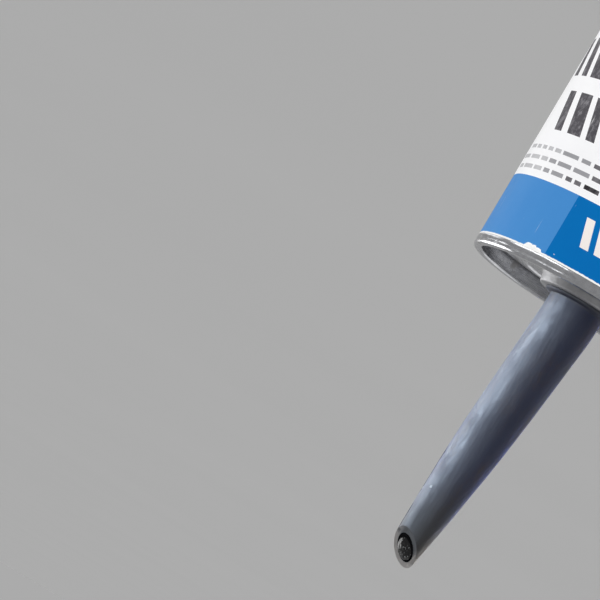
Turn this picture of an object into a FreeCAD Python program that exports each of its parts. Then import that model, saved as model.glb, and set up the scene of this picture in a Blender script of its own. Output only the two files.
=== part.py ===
import FreeCAD, Part
import math
import os
import sys

import Sketcher
from FreeCAD import Placement, Rotation, Vector

# A sealant cartridge: a wound paperboard barrel with a printed paper label,
# a drawn tinplate front end, a moulded nozzle that leans a little and has had
# its tip cut off on the slant, and a follower plunger behind the sealant.
# Millimetres, +Z from the open rear end (z = 0) towards the nozzle.

doc = FreeCAD.newDocument("sealant_cartridge")

# ---------------------------------------------------------------- dimensions
sheet = doc.addObject("Spreadsheet::Sheet", "dims")
CELLS = [
    # barrel: spiral wound paperboard
    ("barrel_outer", 25.20, "barrel outer radius"),
    ("barrel_inner", 23.70, "barrel bore radius"),
    ("barrel_top", 215.45, "front edge of the board, inside the seam"),
    # label: printed paper glued round the barrel
    ("label_outer", 25.35, "label outer radius"),
    ("label_low", 0.80, "rear edge of the label"),
    ("label_high", 213.50, "front edge of the label"),
    ("lap_outer", 25.50, "outer radius of the glued lap"),
    ("lap_start", 96.0, "azimuth where the lap starts, degrees"),
    ("lap_sweep", 17.0, "width of the lap, degrees"),
    ("chip_azimuth", -56.0, "azimuth of the torn patch's middle, degrees"),
    ("chip_shift", 6.0, "half width of the torn patch's sketch"),
    ("chip_deep", 1.00, "how far the torn patch reaches into the label"),
    # front end: one drawn tinplate pressing
    ("skirt_low", 213.55, "rear edge of the skirt"),
    ("skirt_outer", 25.43, "skirt outer radius"),
    ("skirt_inner", 25.21, "skirt inner radius"),
    ("seam_top", 216.00, "top of the seam"),
    ("seam_under", 215.75, "underside of the seam's top"),
    ("seam_round_out", 0.62, "outer round of the seam"),
    ("seam_round_in", 0.55, "inner round of the seam"),
    ("chuck_inner", 23.45, "chuck wall, nozzle side"),
    ("chuck_outer", 23.68, "chuck wall, barrel side"),
    ("groove_floor", 211.00, "floor of the countersink groove"),
    ("groove_under", 210.75, "underside of the groove"),
    ("groove_inner", 21.65, "inner wall of the groove"),
    ("groove_round", 0.75, "round of the groove's corners"),
    ("groove_round_low", 1.00, "round of the groove's corners, underneath"),
    ("panel_edge", 212.60, "panel height beside the groove"),
    ("panel_hub", 213.30, "panel height beside the hub"),
    ("plate", 0.25, "tinplate thickness, rounded up"),
    ("ring_out", 17.20, "stiffening ring, outer foot"),
    ("ring_in", 14.00, "stiffening ring, inner foot"),
    ("ring_rise", 0.50, "stiffening ring, rise"),
    ("hub_foot", 9.90, "hub radius at its foot"),
    ("hub_side", 9.40, "hub radius at its top"),
    ("hub_top", 215.60, "hub top"),
    ("hub_hole", 6.75, "hole in the hub"),
    # nozzle: one thin walled moulding
    ("flange_low", 213.95, "flange underside"),
    ("flange_high", 215.25, "flange top"),
    ("flange_outer", 8.95, "flange radius"),
    ("neck_outer", 6.65, "neck in the hub's hole"),
    ("collar_low", 215.65, "snap collar underside"),
    ("collar_edge", 216.12, "snap collar edge"),
    ("collar_high", 216.42, "snap collar top"),
    ("collar_outer", 7.70, "snap collar radius"),
    ("bend_start", 216.60, "where the lean starts"),
    ("bend_radius", 66.40, "bend radius of the lean"),
    ("lean_angle", 5.0, "lean of the nozzle, degrees"),
    ("cone_base", 6.265, "nozzle radius at the bend's end"),
    ("cone_mid", 5.4325, "nozzle radius at the belly, corner of the two tapers"),
    ("cone_mid_at", 33.30, "distance from the bend's end to the belly"),
    ("cone_end", 2.336, "nozzle radius at the moulded end, before the cut"),
    ("cone_end_at", 69.10, "distance from the bend's end to the moulded end"),
    ("cone_round", 455.0, "radius that blends the two tapers"),
    ("bore_base", 5.00, "nozzle bore at the bend's end"),
    ("bore_mid", 4.30, "nozzle bore at the belly"),
    ("bore_end", 1.336, "nozzle bore at the moulded end"),
    ("cut_at", 56.20, "where the slant cut crosses the nozzle's axis"),
    ("cut_tilt", 48.1, "tilt of the cut's normal from the vertical, degrees"),
    ("cut_azimuth", -49.3, "azimuth of the cut's normal, degrees"),
    ("cut_disc", 14.0, "radius of the cutting disc"),
    ("cut_long", 40.0, "length of the cutting disc"),
    # pierced foil membrane under the flange
    ("foil_low", 213.80, "membrane underside"),
    ("foil_outer", 8.90, "membrane radius"),
    ("foil_hole", 2.20, "pierced hole"),
    ("foil_slit_long", 3.70, "reach of each tear"),
    ("foil_slit_wide", 0.50, "width of each tear"),
    ("foil_tears", 5, "number of tears"),
    # plunger: one moulded cup, open to the rear
    ("plunger_low", 14.00, "rear rim of the plunger"),
    ("plunger_skirt", 23.25, "plunger wall between its lips"),
    ("plunger_lip", 23.60, "plunger wiping lips"),
    ("cup_inner", 21.90, "bore of the plunger's cup"),
    ("cup_floor", 33.00, "floor of the plunger's cup"),
    ("cup_round", 0.80, "round at the cup's floor"),
    ("plunger_front", 36.00, "front of the plunger"),
    ("plunger_dish", 35.20, "dished middle of the plunger's front"),
    ("rib_tall", 0.60, "height of the low ribs on the cup's floor"),
    ("rib_wide", 1.30, "width of a low rib"),
    ("rib_from", 4.00, "inner end of a low rib"),
    ("rib_to", 19.50, "outer end of a low rib"),
    ("rib_count", 8, "number of low ribs"),
    # sealant
    ("column_outer", 23.62, "sealant in the barrel, radius"),
    ("column_top", 213.70, "sealant under the membrane"),
    ("core_gap", 0.05, "gap between the nozzle's bore and its sealant"),
    ("nub_out", 1.30, "how far the sealant stands out of the cut"),
    ("nub_long", 2.70, "half length of the nub"),
    ("nub_wide", 1.95, "half width of the nub"),
]
VALUE = {}
for row, (name, value, note) in enumerate(CELLS, start=1):
    sheet.set(f"A{row}", note)
    sheet.set(f"B{row}", str(value))
    sheet.setAlias(f"B{row}", name)
    VALUE[name] = float(value)
doc.recompute()


class Dim:
    """A size that knows its number and the expression that drives it."""

    def __init__(self, value, expression):
        self.value, self.expression = float(value), expression

    @staticmethod
    def of(other):
        if isinstance(other, Dim):
            return other
        return Dim(other, repr(float(other)))

    def _join(self, other, sign, value):
        other = Dim.of(other)
        return Dim(value, f"({self.expression} {sign} {other.expression})")

    def __add__(self, other):
        return self._join(other, "+", self.value + Dim.of(other).value)

    def __sub__(self, other):
        return self._join(other, "-", self.value - Dim.of(other).value)

    def __mul__(self, other):
        return self._join(other, "*", self.value * Dim.of(other).value)

    def __truediv__(self, other):
        return self._join(other, "/", self.value / Dim.of(other).value)

    def __rsub__(self, other):
        return Dim.of(other) - self

    __radd__ = __add__
    __rmul__ = __mul__


def d(name):
    return Dim(VALUE[name], f"dims.{name}")


# ------------------------------------------------------------------- helpers
def origin_part(body, role):
    for feature in body.Origin.OriginFeatures:
        if feature.Role == role:
            return feature
    raise LookupError(role)


def new_body(label):
    body = doc.addObject("PartDesign::Body", label)
    body.Label = label
    body.Placement = Placement(Vector(0, 0, 0), Rotation())
    return body


def new_sketch(body, name, plane, base=(0, 0, 0), turn=None):
    """A sketch on one of the body's own origin planes, shifted by base (Dims or numbers) and turned in that plane's frame."""
    sketch = body.newObject("Sketcher::SketchObject", name)
    sketch.AttachmentSupport = [(origin_part(body, plane), "")]
    sketch.MapMode = "FlatFace"
    numbers = [Dim.of(b).value for b in base]
    sketch.AttachmentOffset = Placement(Vector(*numbers), turn or Rotation())
    for axis, b in zip("xyz", base):
        if isinstance(b, Dim):
            sketch.setExpression(f"AttachmentOffset.Base.{axis}", b.expression)
    return sketch


def bind(sketch, index, size, name):
    sketch.renameConstraint(index, name)
    if isinstance(size, Dim) and "dims." in size.expression:
        sketch.setExpression(f"Constraints.{name}", size.expression)


def pin_down(sketch, geo, pos, x, y, tag):
    """Ties one point to the sketch's origin by its two distances."""
    x, y = Dim.of(x), Dim.of(y)
    if abs(x.value) < 1e-9:
        sketch.addConstraint(Sketcher.Constraint("PointOnObject", geo, pos, -2))
    else:
        i = sketch.addConstraint(Sketcher.Constraint("DistanceX", -1, 1, geo, pos, x.value))
        bind(sketch, i, x, f"{tag}_x")
    if abs(y.value) < 1e-9:
        sketch.addConstraint(Sketcher.Constraint("PointOnObject", geo, pos, -1))
    else:
        i = sketch.addConstraint(Sketcher.Constraint("DistanceY", -1, 1, geo, pos, y.value))
        bind(sketch, i, y, f"{tag}_y")


def closed_profile(sketch, corners):
    """A closed outline of straight runs. Each corner is (x, y) or (x, y, round), and a round corner gets a tangent arc."""
    pts = [(Dim.of(c[0]), Dim.of(c[1]), Dim.of(c[2]) if len(c) > 2 else None) for c in corners]
    count = len(pts)
    spot = [Vector(p[0].value, p[1].value, 0) for p in pts]
    leave, reach, arcs = {}, {}, {}
    for i in range(count):
        if pts[i][2] is None:
            leave[i] = reach[i] = spot[i]
            continue
        r = pts[i][2].value
        back = (spot[i - 1] - spot[i]).normalize()
        ahead = (spot[(i + 1) % count] - spot[i]).normalize()
        turn = math.pi - back.getAngle(ahead)
        run = r * math.tan(turn / 2)
        reach[i] = spot[i] + back * run
        leave[i] = spot[i] + ahead * run
        middle = (back + ahead).normalize()
        centre = spot[i] + middle * (r / math.cos(turn / 2))
        left = (-back).cross(ahead).z > 0
        a0 = math.atan2((reach[i] - centre).y, (reach[i] - centre).x)
        a1 = math.atan2((leave[i] - centre).y, (leave[i] - centre).x)
        arcs[i] = (centre, r, a0, a1, left)
    lines = [
        sketch.addGeometry(Part.LineSegment(leave[i], reach[(i + 1) % count]), False)
        for i in range(count)
    ]
    for i in range(count):
        before, after = lines[i - 1], lines[i]
        if i not in arcs:
            sketch.addConstraint(Sketcher.Constraint("Coincident", before, 2, after, 1))
            pin_down(sketch, after, 1, pts[i][0], pts[i][1], f"p{i}")
            continue
        centre, r, a0, a1, left = arcs[i]
        first, last = (a0, a1) if left else (a1, a0)
        while last < first:
            last += 2 * math.pi
        arc = sketch.addGeometry(
            Part.ArcOfCircle(Part.Circle(centre, Vector(0, 0, 1), r), first, last), False
        )
        start, end = (1, 2) if left else (2, 1)
        sketch.addConstraint(Sketcher.Constraint("Tangent", before, 2, arc, start))
        sketch.addConstraint(Sketcher.Constraint("Tangent", after, 1, arc, end))
        j = sketch.addConstraint(Sketcher.Constraint("Radius", arc, r))
        bind(sketch, j, pts[i][2], f"p{i}_r")
        point = sketch.addGeometry(Part.Point(spot[i]), True)
        sketch.addConstraint(Sketcher.Constraint("PointOnObject", point, 1, before))
        sketch.addConstraint(Sketcher.Constraint("PointOnObject", point, 1, after))
        pin_down(sketch, point, 1, pts[i][0], pts[i][1], f"p{i}")


def circle(sketch, x, y, r, tag):
    geo = sketch.addGeometry(
        Part.Circle(Vector(Dim.of(x).value, Dim.of(y).value, 0), Vector(0, 0, 1), Dim.of(r).value),
        False,
    )
    if abs(Dim.of(x).value) < 1e-9 and abs(Dim.of(y).value) < 1e-9:
        sketch.addConstraint(Sketcher.Constraint("Coincident", geo, 3, -1, 1))
    else:
        pin_down(sketch, geo, 3, x, y, tag)
    j = sketch.addConstraint(Sketcher.Constraint("Radius", geo, Dim.of(r).value))
    bind(sketch, j, Dim.of(r), f"{tag}_r")
    return geo


def volume(body):
    doc.recompute()
    return body.Shape.Volume


def revolve(body, name, sketch, axis="V_Axis", angle=None, backwards=False):
    feature = body.newObject("PartDesign::Revolution", name)
    feature.Profile = sketch
    feature.ReferenceAxis = (sketch, [axis])
    feature.Angle = 360.0 if angle is None else Dim.of(angle).value
    if isinstance(angle, Dim):
        feature.setExpression("Angle", angle.expression)
    feature.Reversed = backwards
    sketch.Visibility = False
    return feature


def pocket(body, name, sketch, length, backwards):
    before = volume(body)
    feature = body.newObject("PartDesign::Pocket", name)
    feature.Profile = sketch
    feature.Length = Dim.of(length).value
    if isinstance(length, Dim):
        feature.setExpression("Length", length.expression)
    feature.Reversed = backwards
    after = volume(body)
    if not after < before - 1e-4:
        sys.exit(f"{name} cut nothing: {before} to {after}")
    return feature


def pad(body, name, sketch, length, backwards=False):
    feature = body.newObject("PartDesign::Pad", name)
    feature.Profile = sketch
    feature.Length = Dim.of(length).value
    if isinstance(length, Dim):
        feature.setExpression("Length", length.expression)
    feature.Reversed = backwards
    return feature


def polar(body, name, features, axis, count):
    feature = body.newObject("PartDesign::PolarPattern", name)
    feature.Originals = features
    feature.Axis = axis
    feature.Angle = 360.0
    feature.Occurrences = int(Dim.of(count).value)
    feature.setExpression("Occurrences", count.expression)
    body.Tip = feature
    return feature


# ---------------------------------------------------- barrel: wound paperboard
barrel = new_body("barrel_tube")
sk = new_sketch(barrel, "barrel_wall", "XZ_Plane")
closed_profile(
    sk,
    [
        (d("barrel_inner"), 0),
        (d("barrel_outer"), 0),
        (d("barrel_outer"), d("barrel_top")),
        (d("barrel_inner"), d("barrel_top")),
    ],
)
revolve(barrel, "barrel_turn", sk)

# ------------------------------------------- label: paper sheet, lapped, torn
label = new_body("printed_label")
sk = new_sketch(label, "label_sheet", "XZ_Plane")
closed_profile(
    sk,
    [
        (d("barrel_outer"), d("label_low")),
        (d("label_outer"), d("label_low")),
        (d("label_outer"), d("label_high")),
        (d("barrel_outer"), d("label_high")),
    ],
)
revolve(label, "label_turn", sk)
# the end of the sheet, glued over its start
sk = new_sketch(
    label, "label_lap", "XZ_Plane", turn=Rotation(Vector(0, 1, 0), VALUE["lap_start"])
)
sk.setExpression("AttachmentOffset.Rotation.Angle", "dims.lap_start")
closed_profile(
    sk,
    [
        (d("label_outer") - 0.05, d("label_low")),
        (d("lap_outer"), d("label_low")),
        (d("lap_outer"), d("label_high")),
        (d("label_outer") - 0.05, d("label_high")),
    ],
)
revolve(label, "lap_turn", sk, angle=d("lap_sweep"))
# a torn patch in the front edge
turn = Rotation(Vector(0, 1, 0), VALUE["chip_azimuth"] + 90.0)
sk = new_sketch(label, "torn_patch", "XZ_Plane", turn=turn)
sk.AttachmentOffset = Placement(turn.multVec(Vector(-VALUE["chip_shift"], 0, 0)), turn)
high, deep = d("label_high"), d("chip_deep")
closed_profile(
    sk,
    [
        (3.10, high + 0.5),
        (3.60, high - deep * 0.12),
        (4.30, high - deep * 0.28),
        (5.10, high - deep * 0.45),
        (5.90, high - deep * 0.60),
        (6.50, high - deep * 0.85),
        (7.20, high - deep),
        (7.90, high - deep * 0.85),
        (8.45, high - deep * 0.45),
        (8.85, high + 0.5),
    ],
)
pocket(label, "torn_out", sk, 30.0, True)

# -------------------------------------------------- front end: drawn tinplate
front = new_body("front_end")
sk = new_sketch(front, "front_section", "XZ_Plane")
t = d("plate")


def panel_z(r):
    """Height of the panel's upper side: it rises in a straight line from the groove to the hub."""
    span = d("groove_inner") - d("hub_foot")
    return d("panel_edge") + (d("panel_hub") - d("panel_edge")) * ((d("groove_inner") - r) / span)


closed_profile(
    sk,
    [
        (d("skirt_outer"), d("skirt_low")),
        (d("skirt_outer"), d("seam_top"), d("seam_round_out")),
        (d("chuck_inner"), d("seam_top"), d("seam_round_in")),
        (d("chuck_inner"), d("groove_floor"), d("groove_round")),
        (d("groove_inner"), d("groove_floor"), d("groove_round")),
        (d("groove_inner"), d("panel_edge"), 0.45),
        (d("ring_out"), panel_z(d("ring_out")), 0.40),
        (d("ring_out") - 0.55, panel_z(d("ring_out") - 0.55) + d("ring_rise"), 0.40),
        (d("ring_in") + 0.55, panel_z(d("ring_in") + 0.55) + d("ring_rise"), 0.40),
        (d("ring_in"), panel_z(d("ring_in")), 0.40),
        (d("hub_foot"), d("panel_hub"), 0.60),
        (d("hub_side"), d("hub_top"), 0.50),
        (d("hub_hole"), d("hub_top")),
        (d("hub_hole"), d("hub_top") - t),
        (d("hub_side") - t, d("hub_top") - t, 0.25),
        (d("hub_foot") - t, d("panel_hub") - t, 0.80),
        (d("ring_in") - 0.10, panel_z(d("ring_in")) - t, 0.40),
        (d("ring_in") + 0.45, panel_z(d("ring_in") + 0.55) + d("ring_rise") - t, 0.40),
        (d("ring_out") - 0.45, panel_z(d("ring_out") - 0.55) + d("ring_rise") - t, 0.40),
        (d("ring_out") + 0.10, panel_z(d("ring_out")) - t, 0.40),
        (d("groove_inner") - t, d("panel_edge") - t, 0.25),
        (d("groove_inner") - t, d("groove_under"), d("groove_round_low")),
        (d("chuck_outer"), d("groove_under"), d("groove_round_low")),
        (d("chuck_outer"), d("seam_under"), 0.25),
        (d("skirt_inner"), d("seam_under"), 0.25),
        (d("skirt_inner"), d("skirt_low")),
    ],
)
revolve(front, "front_turn", sk)

# ------------------------------------------------------------ nozzle moulding
BEND_X = "dims.bend_radius * (1 - cos(dims.lean_angle * 1 deg))"
BEND_Z = "dims.bend_start + dims.bend_radius * sin(dims.lean_angle * 1 deg)"
lean = math.radians(VALUE["lean_angle"])
bend_end = Vector(
    VALUE["bend_radius"] * (1 - math.cos(lean)),
    0,
    VALUE["bend_start"] + VALUE["bend_radius"] * math.sin(lean),
)
lean_dir = Vector(math.sin(lean), 0, math.cos(lean))


def ring_bend(body, name, outer, inner):
    """The short bend: a ring in a level plane, turned about a line parallel to Y."""
    sketch = new_sketch(body, f"{name}_ring", "XY_Plane", base=(0, 0, d("bend_start")))
    axis = sketch.addGeometry(
        Part.LineSegment(
            Vector(VALUE["bend_radius"], -10, 0), Vector(VALUE["bend_radius"], 10, 0)
        ),
        True,
    )
    pin_down(sketch, axis, 1, d("bend_radius"), -10.0, "axis_low")
    pin_down(sketch, axis, 2, d("bend_radius"), 10.0, "axis_high")
    circle(sketch, 0, 0, outer, "outer")
    if inner is not None:
        circle(sketch, 0, 0, inner, "inner")
    feature = revolve(body, name, sketch, axis="Axis0", angle=d("lean_angle"))
    doc.recompute()
    # the bend has to rise from its ring, not sink into what is below it
    if feature.Shape.BoundBox.ZMax < VALUE["bend_start"] + 1:
        sys.exit(f"{name} bends the wrong way")
    return feature


def leaning_sketch(body, name):
    sketch = new_sketch(
        body,
        name,
        "XZ_Plane",
        base=(bend_end.x, bend_end.z, 0),
        turn=Rotation(Vector(0, 0, 1), -VALUE["lean_angle"]),
    )
    sketch.setExpression("AttachmentOffset.Base.x", BEND_X)
    sketch.setExpression("AttachmentOffset.Base.y", BEND_Z)
    sketch.setExpression("AttachmentOffset.Rotation.Angle", "-dims.lean_angle")
    return sketch


def slant_cut(body, name, out):
    """Cuts off everything past the slant plane, moved out along its normal by out."""
    turn = Rotation(Vector(0, 0, 1), VALUE["cut_azimuth"]).multiply(
        Rotation(Vector(0, 1, 0), VALUE["cut_tilt"])
    )
    centre = bend_end + lean_dir * VALUE["cut_at"] + turn.multVec(Vector(0, 0, out))
    sketch = new_sketch(body, f"{name}_disc", "XY_Plane", turn=turn)
    sketch.AttachmentOffset = Placement(centre, turn)
    circle(sketch, 0, 0, d("cut_disc"), "disc")
    return pocket(body, name, sketch, d("cut_long"), True)


nozzle = new_body("nozzle")
sk = new_sketch(nozzle, "nozzle_foot", "XZ_Plane")
closed_profile(
    sk,
    [
        (d("bore_base"), d("flange_low")),
        (d("flange_outer"), d("flange_low")),
        (d("flange_outer"), d("flange_high")),
        (d("neck_outer"), d("flange_high")),
        (d("neck_outer"), d("collar_low")),
        (d("collar_outer"), d("collar_low")),
        (d("collar_outer"), d("collar_edge"), 0.20),
        (d("cone_base"), d("collar_high")),
        (d("cone_base"), d("bend_start")),
        (d("bore_base"), d("bend_start")),
    ],
)
revolve(nozzle, "nozzle_foot_turn", sk)
ring_bend(nozzle, "nozzle_bend", d("cone_base"), d("bore_base"))
sk = leaning_sketch(nozzle, "nozzle_cone")
closed_profile(
    sk,
    [
        (d("bore_base"), 0),
        (d("cone_base"), 0),
        (d("cone_mid"), d("cone_mid_at"), d("cone_round")),
        (d("cone_end"), d("cone_end_at")),
        (d("bore_end"), d("cone_end_at")),
        (d("bore_mid"), d("cone_mid_at"), d("cone_round")),
    ],
)
revolve(nozzle, "nozzle_cone_turn", sk)
slant_cut(nozzle, "nozzle_slant", 0.0)

# ------------------------------------------------------------- foil membrane
foil = new_body("seal_membrane")
sk = new_sketch(foil, "foil_disc", "XY_Plane", base=(0, 0, d("foil_low")))
circle(sk, 0, 0, d("foil_outer"), "outer")
circle(sk, 0, 0, d("foil_hole"), "hole")
pad(foil, "foil_pad", sk, d("flange_low") - d("foil_low"))
sk = new_sketch(foil, "foil_tear", "XY_Plane", base=(0, -0.25, d("foil_low") - 0.1))
closed_profile(
    sk,
    [
        (1.4, 0),
        (d("foil_slit_long"), d("foil_slit_wide") / 2),
        (1.4, d("foil_slit_wide")),
    ],
)
tear = pocket(foil, "foil_tear_cut", sk, 0.4, True)
polar(foil, "foil_tears_round", [tear], (origin_part(foil, "Z_Axis"), [""]), d("foil_tears"))

# ------------------------------------------------------------------- plunger
plunger = new_body("plunger")
z0 = d("plunger_low")
lip, wall = d("plunger_lip"), d("plunger_skirt")
sk = new_sketch(plunger, "plunger_section", "XZ_Plane")
closed_profile(
    sk,
    [
        (d("cup_inner"), z0),
        (wall, z0, 0.30),
        (wall, z0 + 1.2),
        (lip, z0 + 1.8),
        (lip, z0 + 3.0),
        (wall, z0 + 3.6),
        (wall, z0 + 16.6),
        (lip, z0 + 17.2),
        (lip, z0 + 19.0, 0.30),
        (22.0, d("plunger_front"), 1.20),
        (12.0, d("plunger_front"), 1.50),
        (9.0, d("plunger_dish"), 1.50),
        (0, d("plunger_dish")),
        (0, d("cup_floor")),
        (d("cup_inner"), d("cup_floor"), d("cup_round")),
    ],
)
revolve(plunger, "plunger_turn", sk)
# low ribs and a low boss on the cup's floor
sk = new_sketch(
    plunger, "plunger_rib", "XY_Plane", base=(0, d("rib_wide") * -0.5, d("cup_floor"))
)
closed_profile(
    sk,
    [
        (d("rib_from"), 0),
        (d("rib_to"), 0),
        (d("rib_to"), d("rib_wide")),
        (d("rib_from"), d("rib_wide")),
    ],
)
rib = pad(plunger, "plunger_rib_pad", sk, d("rib_tall"), backwards=True)
polar(plunger, "plunger_ribs", [rib], (origin_part(plunger, "Z_Axis"), [""]), d("rib_count"))
sk = new_sketch(plunger, "plunger_boss", "XY_Plane", base=(0, 0, d("cup_floor")))
circle(sk, 0, 0, 5.0, "boss")
pad(plunger, "plunger_boss_pad", sk, d("rib_tall"), backwards=True)

# ------------------------------------------------- sealant behind the nozzle
column = new_body("sealant_column")
sk = new_sketch(column, "column_section", "XZ_Plane")
r = d("column_outer")
closed_profile(
    sk,
    [
        (0, d("plunger_dish") + 0.12),
        (9.0, d("plunger_dish") + 0.12),
        (12.0, d("plunger_front") + 0.12),
        (r, d("plunger_front") + 0.12),
        (r, d("groove_under") - 0.35),
        (d("groove_inner") - 0.45, d("groove_under") - 0.35),
        (d("groove_inner") - 0.60, d("panel_edge") - 0.55),
        (d("hub_foot") - 0.10, d("panel_hub") - 0.50),
        (d("foil_outer") - 0.10, d("column_top")),
        (0, d("column_top")),
    ],
)
revolve(column, "column_turn", sk)

# ---------------------------------------------------- sealant in the nozzle
core = new_body("nozzle_sealant")
gap = d("core_gap")
sk = new_sketch(core, "core_foot", "XZ_Plane")
closed_profile(
    sk,
    [
        (0, d("column_top") + 0.03),
        (d("foil_hole") - 0.15, d("column_top") + 0.03),
        (d("foil_hole") - 0.15, d("flange_low") + 0.05),
        (d("bore_base") - gap, d("flange_low") + 0.05),
        (d("bore_base") - gap, d("bend_start")),
        (0, d("bend_start")),
    ],
)
revolve(core, "core_foot_turn", sk)
ring_bend(core, "core_bend", d("bore_base") - gap, None)
sk = leaning_sketch(core, "core_cone")
closed_profile(
    sk,
    [
        (0, 0),
        (d("bore_base") - gap, 0),
        (d("bore_mid") - gap, d("cone_mid_at"), d("cone_round")),
        (d("bore_end") - gap, d("cone_end_at")),
        (0, d("cone_end_at")),
    ],
)
revolve(core, "core_cone_turn", sk)
slant_cut(core, "core_slant", 0.12)
# a rounded nub of sealant stands in the opening
turn = Rotation(Vector(0, 0, 1), VALUE["cut_azimuth"]).multiply(
    Rotation(Vector(0, 1, 0), VALUE["cut_tilt"])
)
nub = core.newObject("PartDesign::AdditiveEllipsoid", "core_nub")
nub.AttachmentSupport = [(origin_part(core, "XY_Plane"), "")]
nub.MapMode = "FlatFace"
nub.AttachmentOffset = Placement(bend_end + lean_dir * (VALUE["cut_at"] - 0.12), turn)
for radius, size in (("Radius1", "nub_out"), ("Radius2", "nub_long"), ("Radius3", "nub_wide")):
    nub.setExpression(radius, d(size).expression)

# -------------------------------------------------------------------- output
doc.recompute()
for obj in doc.Objects:
    bad = {"Invalid", "Error"} & set(obj.State)
    if bad:
        sys.exit(f"{obj.Name} is {bad}: {obj.getStatusString()}")
    if obj.TypeId == "Sketcher::SketchObject":
        if obj.solve() != 0:
            sys.exit(f"{obj.Name} doesn't solve")
        free = obj.FullyConstrained
        if not free:
            print(f"note: {obj.Name} isn't fully constrained")
pieces = [barrel, label, front, nozzle, foil, plunger, column, core]
os.makedirs("parts", exist_ok=True)
for piece in pieces:
    shape = piece.Shape
    if shape.isNull() or not shape.isValid() or len(shape.Solids) != 1:
        sys.exit(f"{piece.Label}: null, invalid or not one solid ({len(shape.Solids)})")
    box = shape.BoundBox
    print(
        f"{piece.Label:16s} {shape.Volume:11.2f} mm3  "
        f"x {box.XMin:.2f} {box.XMax:.2f}  y {box.YMin:.2f} {box.YMax:.2f}  z {box.ZMin:.2f} {box.ZMax:.2f}"
    )
    shape.exportStep(os.path.join("parts", f"{piece.Label}.step"))
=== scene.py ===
import math
import random

import bmesh
import bpy
import numpy as np
from mathutils import Matrix, Vector, noise
from mathutils.geometry import delaunay_2d_cdt


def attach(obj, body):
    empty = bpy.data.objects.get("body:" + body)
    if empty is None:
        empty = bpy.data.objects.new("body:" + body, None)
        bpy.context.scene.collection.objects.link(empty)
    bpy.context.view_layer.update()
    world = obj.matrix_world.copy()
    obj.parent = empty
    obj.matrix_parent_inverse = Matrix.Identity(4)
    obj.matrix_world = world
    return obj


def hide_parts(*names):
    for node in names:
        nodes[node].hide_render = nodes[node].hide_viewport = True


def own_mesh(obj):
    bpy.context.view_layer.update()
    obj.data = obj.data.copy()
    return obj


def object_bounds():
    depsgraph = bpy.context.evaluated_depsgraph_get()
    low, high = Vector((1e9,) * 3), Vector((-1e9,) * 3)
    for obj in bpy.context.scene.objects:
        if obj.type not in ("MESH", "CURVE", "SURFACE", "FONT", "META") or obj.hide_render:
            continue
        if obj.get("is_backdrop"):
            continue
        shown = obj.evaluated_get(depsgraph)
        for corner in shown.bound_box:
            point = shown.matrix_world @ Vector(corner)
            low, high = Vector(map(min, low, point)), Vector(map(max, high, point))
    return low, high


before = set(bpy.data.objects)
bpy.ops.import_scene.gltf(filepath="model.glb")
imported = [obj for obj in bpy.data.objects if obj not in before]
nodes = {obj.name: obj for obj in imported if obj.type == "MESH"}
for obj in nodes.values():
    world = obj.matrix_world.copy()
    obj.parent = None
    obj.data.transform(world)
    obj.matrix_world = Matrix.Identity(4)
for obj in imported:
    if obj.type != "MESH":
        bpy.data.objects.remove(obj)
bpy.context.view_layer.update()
MM = 0.001
rng = random.Random(11)

# sizes shared with the frame, in millimetres
R_BARREL, R_BORE = 25.20, 23.70
R_LABEL, R_LAP = 25.35, 25.50
LABEL_LOW, LABEL_HIGH = 0.80, 213.73
BAND_AT = 199.25
LEAN = math.radians(5.0)
BEND_START, BEND_RADIUS = 216.60, 66.40
BEND_END = Vector(
    (
        BEND_RADIUS * (1 - math.cos(LEAN)),
        0.0,
        BEND_START + BEND_RADIUS * math.sin(LEAN),
    )
)
LEAN_DIR = Vector((math.sin(LEAN), 0.0, math.cos(LEAN)))
CUT_AT = 56.20
CUT_TURN = (
    Matrix.Rotation(math.radians(-49.3), 3, "Z") @ Matrix.Rotation(math.radians(48.1), 3, "Y")
)
CUT_NORMAL = CUT_TURN @ Vector((0, 0, 1))
CUT_POINT = BEND_END + LEAN_DIR * CUT_AT


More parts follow.
